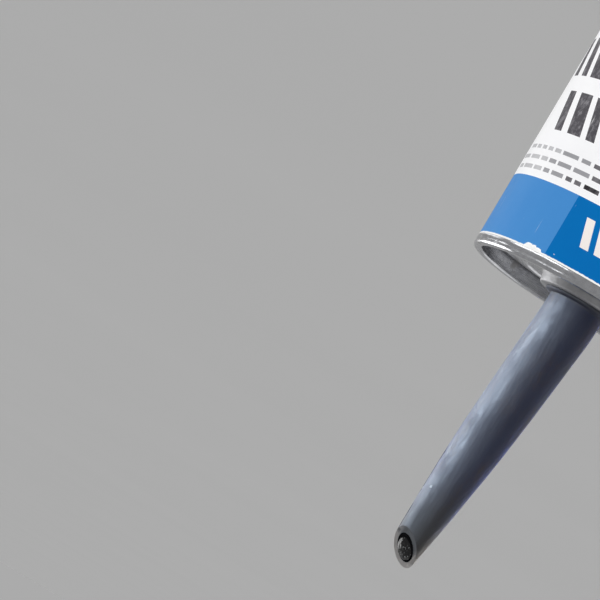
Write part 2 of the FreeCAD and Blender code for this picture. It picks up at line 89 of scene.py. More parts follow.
# ------------------------------------------------------------------ node help
class Tree:
    """A small helper that writes a material's nodes."""

    def __init__(self, name):
        self.mat = bpy.data.materials.new(name)
        self.mat.use_nodes = True
        self.t = self.mat.node_tree
        self.t.nodes.clear()
        self.out = self.t.nodes.new("ShaderNodeOutputMaterial")
        self.bsdf = self.t.nodes.new("ShaderNodeBsdfPrincipled")
        self.t.links.new(self.bsdf.outputs[0], self.out.inputs[0])
        self.coord = None

    def set(self, **values):
        for key, value in values.items():
            self.bsdf.inputs[key.replace("_", " ")].default_value = value
        return self

    def link(self, source, target):
        self.t.links.new(source, target)

    def plug(self, source, name):
        self.t.links.new(source, self.bsdf.inputs[name])

    def position(self):
        if self.coord is None:
            self.coord = self.t.nodes.new("ShaderNodeTexCoord")
        return self.coord.outputs["Object"]

    def math(self, op, a, b=None, clamp=False):
        n = self.t.nodes.new("ShaderNodeMath")
        n.operation, n.use_clamp = op, clamp
        for i, v in enumerate((a, b)):
            if v is None:
                continue
            if isinstance(v, (int, float)):
                n.inputs[i].default_value = v
            else:
                self.link(v, n.inputs[i])
        return n.outputs[0]

    def xyz(self):
        n = self.t.nodes.new("ShaderNodeSeparateXYZ")
        self.link(self.position(), n.inputs[0])
        return n.outputs

    def combine(self, x, y, z):
        n = self.t.nodes.new("ShaderNodeCombineXYZ")
        for i, v in enumerate((x, y, z)):
            if isinstance(v, (int, float)):
                n.inputs[i].default_value = v
            else:
                self.link(v, n.inputs[i])
        return n.outputs[0]

    def scaled(self, vector, sx, sy, sz):
        n = self.t.nodes.new("ShaderNodeVectorMath")
        n.operation = "MULTIPLY"
        self.link(vector, n.inputs[0])
        n.inputs[1].default_value = (sx, sy, sz)
        return n.outputs[0]

    def noise(self, vector, scale, detail=4.0, rough=0.55, distortion=0.0):
        n = self.t.nodes.new("ShaderNodeTexNoise")
        self.link(vector, n.inputs["Vector"])
        n.inputs["Scale"].default_value = scale
        n.inputs["Detail"].default_value = detail
        n.inputs["Roughness"].default_value = rough
        n.inputs["Distortion"].default_value = distortion
        return n.outputs[0]

    def voronoi(self, vector, scale, feature="F1"):
        n = self.t.nodes.new("ShaderNodeTexVoronoi")
        n.feature = feature
        self.link(vector, n.inputs["Vector"])
        n.inputs["Scale"].default_value = scale
        return n.outputs["Distance"]

    def ramp(self, fac, stops, smooth=False):
        n = self.t.nodes.new("ShaderNodeValToRGB")
        n.color_ramp.interpolation = "EASE" if smooth else "LINEAR"
        while len(n.color_ramp.elements) < len(stops):
            n.color_ramp.elements.new(0.5)
        for e, (at, colour) in zip(n.color_ramp.elements, stops):
            e.position = at
            e.color = (*colour, 1.0) if len(colour) == 3 else colour
        self.link(fac, n.inputs[0])
        return n.outputs[0]

    def step(self, value, low, high):
        """0 below low, 1 above high."""
        n = self.t.nodes.new("ShaderNodeMapRange")
        n.interpolation_type = "SMOOTHSTEP"
        n.inputs["From Min"].default_value = low
        n.inputs["From Max"].default_value = high
        self.link(value, n.inputs["Value"])
        return n.outputs["Result"]

    def remap(self, value, a, b, c, e):
        n = self.t.nodes.new("ShaderNodeMapRange")
        for key, v in zip(("From Min", "From Max", "To Min", "To Max"), (a, b, c, e)):
            n.inputs[key].default_value = v
        self.link(value, n.inputs["Value"])
        return n.outputs["Result"]

    def mark(self, vector, centre, radius, ragged=0.0):
        """1 near a place given in millimetres, 0 beyond the radius."""
        n = self.t.nodes.new("ShaderNodeVectorMath")
        n.operation = "DISTANCE"
        self.link(vector, n.inputs[0])
        n.inputs[1].default_value = tuple(c * MM for c in centre)
        far = n.outputs["Value"]
        if ragged:
            far = self.math("ADD", far, self.remap(self.noise(vector, 2600, 3.0, 0.6), 0.3, 0.7, -ragged * MM, ragged * MM))
        return self.math("SUBTRACT", 1.0, self.step(far, radius * 0.55 * MM, radius * MM))

    def mix(self, fac, a, b, kind="MIX"):
        n = self.t.nodes.new("ShaderNodeMix")
        n.data_type, n.blend_type = "RGBA", kind
        if isinstance(fac, (int, float)):
            n.inputs[0].default_value = fac
        else:
            self.link(fac, n.inputs[0])
        for i, v in ((6, a), (7, b)):
            if isinstance(v, tuple):
                n.inputs[i].default_value = (*v, 1.0) if len(v) == 3 else v
            else:
                self.link(v, n.inputs[i])
        return n.outputs[2]

    def bump(self, height, strength, distance, before=None):
        n = self.t.nodes.new("ShaderNodeBump")
        n.inputs["Strength"].default_value = strength
        n.inputs["Distance"].default_value = distance
        self.link(height, n.inputs["Height"])
        if before is not None:
            self.link(before, n.inputs["Normal"])
        return n.outputs[0]


def srgb(r, g, b):
    """A colour given as 0-255 screen values, as linear numbers."""
    return tuple(
        (v / 255 / 12.92) if v / 255 <= 0.04045 else ((v / 255 + 0.055) / 1.055) ** 2.4
        for v in (r, g, b)
    )


# -------------------------------------------------------------------- camera
# The cartridge stands on its rear end. The camera looks at it almost square to
# its axis, from 7.5 degrees in front of the rim, and is rolled so that the
# nozzle points down and to the left.
RIM = Vector((0, 0, 213.5)) * MM
DISTANCE, PX = 0.90, 600.0
ELEVATION = math.radians(7.5)
RIM_PX = (583.6, 294.9)
PX_PER_MM = 4.764
AXIS_PX = (-0.5083, 0.8612)  # the way +Z runs in the image, x right and y down


def aim():
    focal = PX_PER_MM * 1000 * DISTANCE
    eye = RIM + DISTANCE * Vector((0, -math.cos(ELEVATION), math.sin(ELEVATION)))
    want = Vector(((RIM_PX[0] - 300) / focal, -(RIM_PX[1] - 300) / focal, -1)).normalized()
    sight = (RIM - eye).normalized()
    base = want.rotation_difference(sight).to_matrix()

    def project(rot, point):
        q = rot.transposed() @ (point - eye)
        return Vector((q.x, -q.y)) * (focal / -q.z)

    def error(angle):
        rot = Matrix.Rotation(angle, 3, sight) @ base
        run = project(rot, RIM + Vector((0, 0, 0.001))) - project(rot, RIM)
        now, goal = math.atan2(run.y, run.x), math.atan2(AXIS_PX[1], AXIS_PX[0])
        return math.remainder(now - goal, 2 * math.pi)

    best = min((abs(error(math.radians(a))), a) for a in range(0, 360, 5))[1]
    low, high = math.radians(best - 5), math.radians(best + 5)
    for _ in range(60):
        mid = (low + high) / 2
        if (error(low) > 0) == (error(mid) > 0):
            low = mid
        else:
            high = mid
    rot = Matrix.Rotation(mid, 3, sight) @ base
    return eye, rot, focal


eye, rot, focal = aim()
cam_data = bpy.data.cameras.new("camera")
cam_data.sensor_width = 36.0
cam_data.lens = focal * 36.0 / PX
cam_data.clip_start, cam_data.clip_end = 0.02, 60
cam = bpy.data.objects.new("camera", cam_data)
cam.matrix_world = Matrix.Translation(eye) @ rot.to_4x4()
bpy.context.scene.collection.objects.link(cam)
bpy.context.scene.camera = cam

# ------------------------------------------------------------ floor and light
scene = bpy.context.scene
scene.view_settings.view_transform = "Standard"

floor_mesh = bpy.data.meshes.new("floor")
bm = bmesh.new()
bmesh.ops.create_circle(bm, cap_ends=True, segments=96, radius=40.0)
bm.to_mesh(floor_mesh)
bm.free()
floor = bpy.data.objects.new("floor", floor_mesh)
scene.collection.objects.link(floor)
tree = Tree("floor_paint").set(Roughness=1.0, Specular_IOR_Level=0.0)
speck = tree.noise(tree.position(), 1.5, 2.0)
tree.plug(tree.ramp(speck, [(0.3, (0.432,) * 3), (0.7, (0.440,) * 3)]), "Base Color")
floor_mesh.materials.append(tree.mat)
floor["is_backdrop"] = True

world = bpy.data.worlds.new("studio")
scene.world = world
world.use_nodes = True
world.node_tree.nodes["Background"].inputs[0].default_value = (1, 1, 1, 1)
world.node_tree.nodes["Background"].inputs[1].default_value = 0.407


def around(azimuth, elevation, far=1.0, target=(0, 0, 0.22)):
    a, e = math.radians(azimuth), math.radians(elevation)
    return Vector(target) + far * Vector(
        (math.cos(a) * math.cos(e), math.sin(a) * math.cos(e), math.sin(e))
    )


def lamp(name, kind, place, power, size=(0.5, 0.5), target=(0, 0, 0.22), colour=(1, 1, 1)):
    data = bpy.data.lights.new(name, kind)
    data.energy, data.color = power, colour
    if kind == "AREA":
        data.shape, data.size, data.size_y = "RECTANGLE", size[0], size[1]
    else:
        data.angle = math.radians(size[0])
    light = bpy.data.objects.new(name, data)
    light.location = place
    light.rotation_euler = (Vector(target) - Vector(place)).to_track_quat("-Z", "Y").to_euler()
    light.visible_camera = False
    scene.collection.objects.link(light)
    return light


front = lamp("front_light", "SUN", around(-85, 28), 2.0, (45, 45))
front.visible_glossy = False
side = lamp("side_light", "SUN", around(30, 12), 2.15, (50, 50))
lamp("rear_light", "SUN", around(150, 30), 0.5, (60, 60))
# broad cards seen only in the nozzle's reflections, for its long soft highlight
cards = []
for name, azimuth, power in (
    ("card_front", -62, 6.5),
    ("card_near", -24, 43.0),
    ("card_side", 14, 23.0),
    ("card_far", 58, 2.2),
):
    aim_at = (0, 0, 0.25)
    cards.append(lamp(name, "AREA", around(azimuth, -9, 1.15, aim_at), power, (0.8, 0.44), aim_at))
card_lit = bpy.data.collections.new("card_lit")
for card in cards:
    card.data.color = (0.85, 0.92, 1.0)
    card.visible_diffuse = False
    card.visible_transmission = False
    card.light_linking.receiver_collection = card_lit


# --------------------------------------------------------- building a surface
def mesh_object(name, verts, faces, materials, index=None, sharp=None, body="cartridge"):
    """A piece from points in millimetres."""
    mesh = bpy.data.meshes.new(name)
    mesh.from_pydata([tuple(c * MM for c in v) for v in verts], [], faces)
    for m in materials:
        mesh.materials.append(m)
    if index is not None:
        mesh.polygons.foreach_set("material_index", np.array(index, dtype=np.int32))
    mesh.polygons.foreach_set("use_smooth", np.ones(len(mesh.polygons), dtype=bool))
    if sharp is not None:
        mesh.set_sharp_from_angle(angle=math.radians(sharp))
    mesh.update()
    obj = bpy.data.objects.new(name, mesh)
    scene.collection.objects.link(obj)
    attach(obj, body)
    return obj


def noise_at(x, y, z, size):
    """Smooth noise, about -1 to 1, for a point in millimetres and a feature size."""
    return noise.noise(Vector((x / size, y / size, z / size)))


# ------------------------------------------------------------------ materials
def polar_nodes(tree):
    """Radius and azimuth of the shaded point, in metres and radians."""
    x, y, z = tree.xyz()
    r = tree.math("SQRT", tree.math("ADD", tree.math("MULTIPLY", x, x), tree.math("MULTIPLY", y, y)))
    return r, tree.math("ARCTAN2", y, x), z


def label_print(name, colour, deep=None, mottle=0.0, edge=True):
    """Ink on coated paper. Scuffs and the sheet's edges show the paper."""
    tree = Tree(name).set(Roughness=0.5, Specular_IOR_Level=0.12)
    at = tree.position()
    r, az, z = polar_nodes(tree)
    cloud = tree.noise(at, 60, 3.0, 0.6)
    shade = tree.mix(tree.remap(cloud, 0.3, 0.7, 0.0, 1.0), colour, deep or tuple(c * 0.93 for c in colour))
    paper = srgb(246, 246, 246)
    if mottle:
        coarse = tree.noise(tree.scaled(at, 1.0, 1.0, 0.62), 1050, 5.0, 0.70)
        worn = tree.step(coarse, 0.44, 0.68)
        shade = tree.mix(tree.math("MULTIPLY", worn, mottle), shade, srgb(152, 150, 155))
        fine = tree.step(tree.noise(tree.scaled(at, 1.0, 1.0, 0.5), 3000, 3.0, 0.7), 0.60, 0.72)
        shade = tree.mix(tree.math("MULTIPLY", fine, mottle * 0.45), shade, srgb(190, 188, 192))
    # hairline scuffs, longest along the barrel
    scratch = tree.noise(tree.scaled(at, 1500, 1500, 110), 1.0, 3.0, 0.62, 0.4)
    scuff = tree.math("MULTIPLY", tree.step(scratch, 0.705, 0.745), 0.42)
    shade = tree.mix(scuff, shade, paper)
    if edge:
        rag = tree.noise(at, 2200, 3.0, 0.6)
        line = tree.math("ADD", z, tree.math("MULTIPLY", rag, 0.00035))
        bare = tree.step(line, 0.21344, 0.21356)
        low = tree.math("SUBTRACT", 1.0, tree.step(line, 0.00118, 0.00130))
        shade = tree.mix(tree.math("MAXIMUM", bare, low), shade, srgb(252, 252, 250))
    # handling marks, a little warmer than the paper
    marks = tree.step(tree.noise(at, 34, 5.0, 0.62), 0.60, 0.80)
    shade = tree.mix(tree.math("MULTIPLY", marks, 0.07), shade, srgb(168, 160, 148))
    tree.plug(shade, "Base Color")
    rough = tree.remap(tree.noise(at, 420, 4.0, 0.6), 0.3, 0.7, 0.44, 0.60)
    tree.plug(tree.math("ADD", rough, tree.math("MULTIPLY", scuff, 0.3)), "Roughness")
    fibre = tree.noise(at, 3800, 4.0, 0.65)
    waves = tree.noise(tree.scaled(at, 1, 1, 0.35), 95, 2.0, 0.5)
    first = tree.bump(waves, 0.35, 0.0009)
    tree.plug(tree.bump(fibre, 0.16, 0.00005, first), "Normal")
    return tree.mat


def paper_edge(name="label_paper_fibres"):
    tree = Tree(name).set(Roughness=0.9, Specular_IOR_Level=0.2)
    at = tree.position()
    fibre = tree.noise(tree.scaled(at, 1, 1, 0.5), 5200, 4.0, 0.7)
    tree.plug(tree.ramp(fibre, [(0.25, srgb(244, 243, 240)), (0.58, srgb(255, 255, 254))]), "Base Color")
    tree.plug(tree.bump(fibre, 0.8, 0.00009), "Normal")
    tree.plug(tree.remap(fibre, 0.3, 0.7, 0.8, 0.98), "Roughness")
    return tree.mat


INK = {
    "white": label_print("label_white", srgb(252, 252, 253), srgb(248, 248, 250)),
    "light_blue": label_print("label_light_blue", srgb(72, 142, 208), srgb(68, 138, 205)),
    "dark_blue": label_print("label_dark_blue", srgb(0, 111, 184), srgb(0, 107, 180)),
    "charcoal": label_print("label_charcoal", srgb(84, 82, 87), srgb(76, 74, 79), mottle=0.62),
    "grey": label_print("label_grey", srgb(170, 170, 173), srgb(154, 154, 158), mottle=0.3),
    "pale_grey": label_print("label_pale_grey", srgb(203, 203, 205), srgb(190, 190, 193), mottle=0.3),
    "dark_grey": label_print("label_dark_grey", srgb(116, 114, 118), srgb(100, 98, 102), mottle=0.35),
    "black": label_print("label_black", srgb(58, 56, 60), srgb(50, 48, 52), mottle=0.3),
    "reversed": label_print("label_reversed", srgb(248, 243, 240), srgb(243, 236, 231)),
    "fibres": paper_edge(),
}


# ---------------------------------------------------------------------- label
# The sheet is laid flat: t runs round the barrel from +X towards the camera's
# side, in millimetres at the label's radius, and z runs along the barrel.
def along(degrees):
    return math.radians(degrees) * R_LABEL


T_LOW, T_HIGH = along(-113.0), along(247.0)
shapes = []


def block(ink, low, high, bottom, top, slant=0.0):
    """A four-sided field from angle low to high and from z bottom to top. slant shifts its top."""
    shapes.append(
        (
            ink,
            [
                (along(low), bottom),
                (along(high), bottom),
                (along(high + slant), top),
                (along(low + slant), top),
            ],
        )
    )


# two rows of heavy slanted blocks
for bottom, top, start, widths in (
    (178.9, 188.2, 20.0, (6.5, 9.5, 5.5, 11.0, 7.0, 9.5, 5.5, 12.0, 7.0)),
    (165.9, 175.2, 4.0, (6.0, 5.5, 10.5, 6.5, 12.0, 6.0, 8.5, 11.0, 6.0, 9.0)),
):
    place = start
    for i, width in enumerate(widths):
        block("charcoal", place, place + width, bottom, top, 6.5)
        place += width + (5.0, 3.6, 4.4)[i % 3]
# rows of short dashes
for row, (level, start, finish, tall) in enumerate(
    ((197.15, 8.0, 150.0, 0.95), (194.85, 6.0, 150.0, 0.95), (192.4, 10.0, 150.0, 0.9))
):
    place = start
    while place < finish:
        width = rng.uniform(3.0, 10.5)
        ink = "pale_grey" if place < 30 + 4 * row else "grey" if place < 50 + 5 * row else "dark_grey"
        if row == 0 and 62 < place < 118:
            ink = "black"
        block(ink, place, place + width, level - tall / 2, level + tall / 2, 0.35)
        place += width + rng.uniform(1.4, 2.2)
# reversed-out blocks in the dark blue field
for low, high in ((73.0, 77.5), (80.5, 90.0), (93.0, 97.5), (100.5, 112.0), (115.0, 119.5)):
    block("reversed", low, high, 202.5, 208.7, 4.0)
# a pale fleck where the ink is chipped
block("reversed", 67.9, 68.35, 212.38, 212.56, 0.2)
# the side that the picture doesn't show: a quiet block of dashes
level = 150.0
while level > 62.0:
    place = 176.0
    finish = 232.0 if (int(level * 10) % 7) else 206.0
    while place < finish:
        width = min(rng.uniform(3.0, 11.0), finish - place)
        if width > 1.5:
            block("grey", place, place + width, level - 0.42, level + 0.42, 0.2)
        place += width + 1.6
    level -= 2.45 if rng.random() > 0.16 else 5.0

TORN = [
    (along(56.7) - (x - 6.0), LABEL_HIGH - y)
    for x, y in (
        (3.22, -0.40),
        (3.36, 0.20),
        (3.55, 0.42),
        (3.80, 0.50),
        (3.95, 0.86),
        (4.30, 0.94),
        (4.62, 0.88),
        (4.95, 0.97),
        (5.30, 0.90),
        (5.42, 1.16),
        (5.80, 1.22),
        (6.20, 1.12),
        (6.60, 1.20),
        (7.00, 1.14),
        (7.35, 1.22),
        (7.65, 1.15),
        (7.85, 0.92),
        (8.05, 0.66),
        (8.30, 0.50),
        (8.50, 0.30),
        (8.62, 0.14),
        (8.72, 0.02),
        (8.80, -0.4),
    )
]


fine_torn = []
for (t0, z0), (t1, z1) in zip(TORN, TORN[1:]):
    for k in range(3):
        f = k / 3
        t, z = t0 + (t1 - t0) * f, z0 + (z1 - z0) * f
        if LABEL_HIGH > z:
            t, z = t + rng.uniform(-0.06, 0.06), z + rng.uniform(-0.12, 0.10)
        fine_torn.append((t, z))
TORN = fine_torn + [TORN[-1]]


def inside(px, pz, polygon):
    """Which of the points are inside the polygon."""
    result = np.zeros(len(px), dtype=bool)
    n = len(polygon)
    for i in range(n):
        (x0, z0), (x1, z1) = polygon[i], polygon[(i + 1) % n]
        if z0 == z1:
            continue
        cross = (z0 > pz) != (z1 > pz)
        result ^= cross & (px < (x1 - x0) * (pz - z0) / (z1 - z0) + x0)
    return result


def sheet():
    points, edges = [], []

    def line(a, b, step=0.62):
        n = max(1, math.ceil(math.dist(a, b) / step))
        first = len(points)
        for i in range(n + 1):
            f = i / n
            points.append((a[0] + (b[0] - a[0]) * f, a[1] + (b[1] - a[1]) * f))
        edges.extend((first + i, first + i + 1) for i in range(n))

    columns = sorted(
        set(np.linspace(T_LOW, T_HIGH, 241).tolist())
        | {along(a) for a in (-95.3, -95.55, -95.8, -96.05, -96.3, -96.6)}
    )
    rows = [LABEL_LOW, 1.1, 1.5] + np.linspace(4.6, 197.0, 56).tolist()
    rows += [201.9, 204.6, 207.0, 209.4, 211.6, 212.9, 213.3, LABEL_HIGH]
    for z in rows:
        for t in columns:
            points.append((t, z))
    for ink, polygon in shapes:
        for i in range(4):
            line(polygon[i], polygon[(i + 1) % 4])
    line((T_LOW, BAND_AT), (T_HIGH, BAND_AT))
    line((T_LOW, 8.6), (T_HIGH, 8.6))
    line((T_LOW, 10.2), (T_HIGH, 10.2))
    line((T_LOW, 9.6), (T_HIGH, 9.6))
    line((along(64), BAND_AT), (along(64), LABEL_HIGH), 2.0)
    line((along(164), BAND_AT), (along(164), LABEL_HIGH), 2.0)
    clipped = [(t, min(z, LABEL_HIGH)) for t, z in TORN]
    for i in range(len(clipped) - 1):
        line(clipped[i], clipped[i + 1], 0.3)
    t0, t1 = min(t for t, z in TORN), max(t for t, z in TORN)
    for t in np.arange(t0 - 0.3, t1 + 0.3, 0.16):
        for z in np.arange(LABEL_HIGH - 1.5, LABEL_HIGH - 0.05, 0.16):
            points.append((t + rng.uniform(-0.05, 0.05), z + rng.uniform(-0.05, 0.05)))
    for t in np.arange(t0 - 0.3, t1 + 0.3, 0.16):
        points.append((t, LABEL_HIGH))
    verts, _, faces, *_ = delaunay_2d_cdt([Vector(p) for p in points], edges, [], 0, 1e-4)
    flat = np.array([(v.x, v.y) for v in verts])
    faces = np.array([tuple(f) for f in faces])
    a, b, c = (flat[faces[:, k]] for k in range(3))
    area = 0.5 * np.abs(
        (b[:, 0] - a[:, 0]) * (c[:, 1] - a[:, 1]) - (b[:, 1] - a[:, 1]) * (c[:, 0] - a[:, 0])
    )
    mid = (a + b + c) / 3
    keep = area > 1e-6
    faces, mid = faces[keep], mid[keep]
    names = list(INK)
    index = np.full(len(faces), names.index("white"))
    t, z = mid[:, 0], mid[:, 1]
    index[z > BAND_AT] = names.index("light_blue")
    index[(z > BAND_AT) & (t > along(64)) & (t < along(164))] = names.index("dark_blue")
    index[z < 8.6] = names.index("dark_blue")
    index[(z > 9.6) & (z < 10.2)] = names.index("light_blue")
    for ink, polygon in shapes:
        box_t = [p[0] for p in polygon]
        box_z = [p[1] for p in polygon]
        near = (t > min(box_t)) & (t < max(box_t)) & (z > min(box_z)) & (z < max(box_z))
        where = np.nonzero(near)[0]
        hit = inside(t[where], z[where], polygon)
        index[where[hit]] = names.index(ink)
    torn_face = inside(t, z, TORN)
    index[torn_face] = names.index("fibres")

    # wrap it round the barrel
    torn_vert = inside(flat[:, 0], np.minimum(flat[:, 1], LABEL_HIGH - 0.02), TORN)
    rim_distance = np.full(len(flat), 9.0)
    for i in range(len(TORN) - 1):
        p, q = np.array(TORN[i]), np.array(TORN[i + 1])
        f = np.clip(((flat - p) @ (q - p)) / ((q - p) @ (q - p)), 0, 1)
        rim_distance = np.minimum(rim_distance, np.linalg.norm(flat - (p + f[:, None] * (q - p)), axis=1))
    out, normals = [], []
    for k, (tt, zz) in enumerate(flat):
        angle = -tt / R_LABEL
        r = R_LABEL
        lap = (along(-95.3) - tt) / (along(-95.3) - along(-96.6))
        if lap > 0:
            f = min(1.0, lap)
            r += (R_LAP - R_LABEL) * f * f * (3 - 2 * f)
        if torn_vert[k]:
            depth = min(1.0, rim_distance[k] / 0.12)
            fuzz = 0.5 + 0.5 * noise_at(tt, zz, 3.0, 0.33)
            r -= depth * (0.115 - 0.075 * fuzz)
        elif rim_distance[k] < 0.25:
            r += 0.05 * (1 - rim_distance[k] / 0.25) * max(0.0, noise_at(tt, zz, 7.0, 0.8) + 0.3)
        z_out = zz
        if zz > LABEL_HIGH - 0.30:
            ragged = 0.5 + 0.5 * noise_at(tt, 0.0, 1.0, 0.9) + 0.25 * noise_at(tt, 0.0, 5.0, 0.25)
            z_out -= 0.05 * max(0.0, ragged) * (zz - LABEL_HIGH + 0.30) / 0.30
        if zz < LABEL_LOW + 0.25:
            z_out += 0.05 * (0.5 + noise_at(tt, 2.0, 9.0, 0.9))
        out.append((r * math.cos(angle), r * math.sin(angle), z_out))
        normals.append(None if rim_distance[k] < 0.3 or torn_vert[k] else (math.cos(angle), math.sin(angle), 0.0))
    face_list = [tuple(int(i) for i in f[::-1]) for f in faces]
    ink_list = index.tolist()

    # the sheet's cut edges, down to what lies under them
    def edge_strip(chosen, bottom):
        first = len(out)
        for k in chosen:
            x, y, zc = out[k]
            q = math.hypot(x, y)
            radius = bottom(k, q)
            out.append((x * radius / q, y * radius / q, zc))
            normals.append(None)
        for i in range(len(chosen) - 1):
            face_list.append((chosen[i], chosen[i + 1], first + i + 1, first + i))
            ink_list.append(names.index("fibres"))

    def order(mask, key):
        return sorted(np.nonzero(mask)[0].tolist(), key=lambda k: flat[k][key])

    edge_strip(order(flat[:, 1] > LABEL_HIGH - 1e-3, 0), lambda k, q: R_BARREL + 0.02)
    edge_strip(order(flat[:, 1] < LABEL_LOW + 1e-3, 0)[::-1], lambda k, q: R_BARREL + 0.02)
    edge_strip(order(flat[:, 0] < T_LOW + 1e-3, 1), lambda k, q: R_LABEL)
    obj = mesh_object("label_sheet", out, face_list, [INK[n] for n in names], ink_list)
    mesh = obj.data
    own = [Vector(v.normal) for v in mesh.vertices]
    mesh.normals_split_custom_set_from_vertices(
        [n if n is not None else tuple(own[k]) for k, n in enumerate(normals)]
    )
    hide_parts("printed_label")
    return obj


label = sheet()


# --------------------------------------------------------------------- nozzle
def nozzle_material():
    """Natural low density polyethylene: milky, waxy, and it lets the sealant show."""
    tree = Tree("nozzle_polyethylene").set(
        IOR=1.51,
        Transmission_Weight=0.962,
        Specular_IOR_Level=0.38,
        Specular_Tint=(0.80, 0.88, 1.0, 1.0),
    )
    at = tree.position()
    cloud = tree.noise(tree.scaled(at, 1, 1, 0.45), 210, 4.0, 0.6)
    tint = tree.ramp(
        cloud,
        [(0.30, srgb(112, 130, 206)), (0.50, srgb(130, 140, 210)), (0.60, srgb(146, 144, 204)), (0.70, srgb(164, 150, 182))],
    )
    # clearer and greyer at the cut, where there is little behind the wall, and at the thick foot
    x, y, z = tree.xyz()
    plain = tree.math("MAXIMUM", tree.step(z, 0.2560, 0.2730), tree.math("SUBTRACT", 1.0, tree.step(z, 0.2158, 0.2172)))
    tint = tree.mix(tree.math("MULTIPLY", plain, 0.85), tint, srgb(148, 146, 147))
    tint = tree.mix(tree.math("MULTIPLY", tree.step(z, 0.2690, 0.2770), 0.8), tint, srgb(158, 150, 138))
    # a thin dark stripe down the +X side, fading in and out, and two raised nibs of plastic whose pale colour is a
    # painted glint
    wander = tree.remap(tree.noise(tree.scaled(at, 0.15, 0.15, 1.0), 300, 3.0, 0.6), 0.3, 0.7, -0.00030, 0.00030)
    off = tree.math("ADD", y, wander)
    lane = tree.math("MULTIPLY", tree.step(off, -0.00135, -0.00100), tree.math("SUBTRACT", 1.0, tree.step(off, -0.00030, 0.00020)))
    lane = tree.math("MULTIPLY", lane, tree.step(x, 0.00780, 0.00800))
    broken = tree.noise(tree.scaled(at, 0.1, 0.1, 1.0), 230, 3.0, 0.6)
    run = tree.math("MULTIPLY", tree.step(z, 0.2550, 0.2570), tree.math("SUBTRACT", 1.0, tree.step(z, 0.2762, 0.2772)))
    # a thin dark stripe in the colour, also made rougher below
    dark_stripe = tree.math("MULTIPLY", tree.math("MULTIPLY", lane, run), tree.step(broken, 0.34, 0.54))
    nibs_and_painted_glint = tree.math(
        "MAXIMUM",
        tree.mark(at, (8.49, -0.88, 265.59), 0.50, 0.10),
        tree.mark(at, (7.05, -3.42, 264.70), 0.46, 0.10),
    )
    # painted highlight: the nibs' pale colour stands in for the glint they catch; their bump and lower roughness are
    # their own
    tint = tree.mix(tree.math("MULTIPLY", nibs_and_painted_glint, 0.7), tint, srgb(235, 238, 244))
    tree.plug(tree.mix(tree.math("MULTIPLY", dark_stripe, 0.9), tint, srgb(24, 24, 25)), "Base Color")
    # moulding streaks along the nozzle, and hairline scratches from handling
    streak = tree.noise(tree.scaled(at, 620, 620, 40), 1.0, 4.0, 0.62)
    fine = tree.noise(at, 1500, 4.0, 0.65)
    scratch = tree.step(tree.noise(tree.scaled(at, 2100, 2100, 260), 1.0, 2.0, 0.6, 0.5), 0.68, 0.73)
    patch = tree.noise(tree.scaled(at, 1, 1, 0.5), 330, 3.0, 0.6)
    rough = tree.math("ADD", tree.remap(patch, 0.32, 0.68, 0.43, 0.58), tree.remap(fine, 0.3, 0.7, -0.05, 0.05))
    rough = tree.math("ADD", rough, tree.remap(streak, 0.3, 0.7, -0.07, 0.07))
    rough = tree.math("ADD", rough, tree.math("MULTIPLY", tree.step(z, 0.242, 0.262), 0.09))
    rough = tree.math("ADD", rough, tree.math("MULTIPLY", tree.step(z, 0.266, 0.278), 0.12))
    rough = tree.math("ADD", rough, tree.math("MULTIPLY", dark_stripe, 0.3))
    rough = tree.math("SUBTRACT", rough, tree.math("MULTIPLY", nibs_and_painted_glint, 0.20))
    tree.plug(tree.math("SUBTRACT", rough, tree.math("MULTIPLY", scratch, 0.12)), "Roughness")
    raised = tree.bump(nibs_and_painted_glint, 0.5, 0.00012)
    first = tree.bump(streak, 0.45, 0.00026, raised)
    second = tree.bump(patch, 0.36, 0.00040, first)
    third = tree.bump(scratch, 0.30, 0.00004, second)
    tree.plug(tree.bump(fine, 0.22, 0.00006, third), "Normal")
    return tree.mat


def tapered(s, base, mid, end):
    """Two tapers that meet at 33.3 mm, blended over 14 mm each way."""
    m1, m2 = (mid - base) / 33.3, (end - mid) / 35.8
    if s < 19.3:
        return base + m1 * s
    if s > 47.3:
        return mid + m2 * (s - 33.3)
    return base + m1 * s + (m2 - m1) / 56.0 * (s - 19.3) ** 2


def cone_point(s, angle, radius):
    x_axis = Vector((math.cos(LEAN), 0, -math.sin(LEAN)))
    return (
        BEND_END
        + LEAN_DIR * s
        + radius * (math.cos(angle) * x_axis + math.sin(angle) * Vector((0, 1, 0)))
    )


def cut_station(angle, sizes):
    low, high = 40.0, 69.0
    for _ in range(40):
        s = (low + high) / 2
        p = cone_point(s, angle, tapered(s, *sizes))
        if (p - CUT_POINT).dot(CUT_NORMAL) > 0:
            high = s
        else:
            low = s
    return (low + high) / 2


OUTER, INNER = (6.265, 5.4325, 2.336), (5.0, 4.30, 1.336)


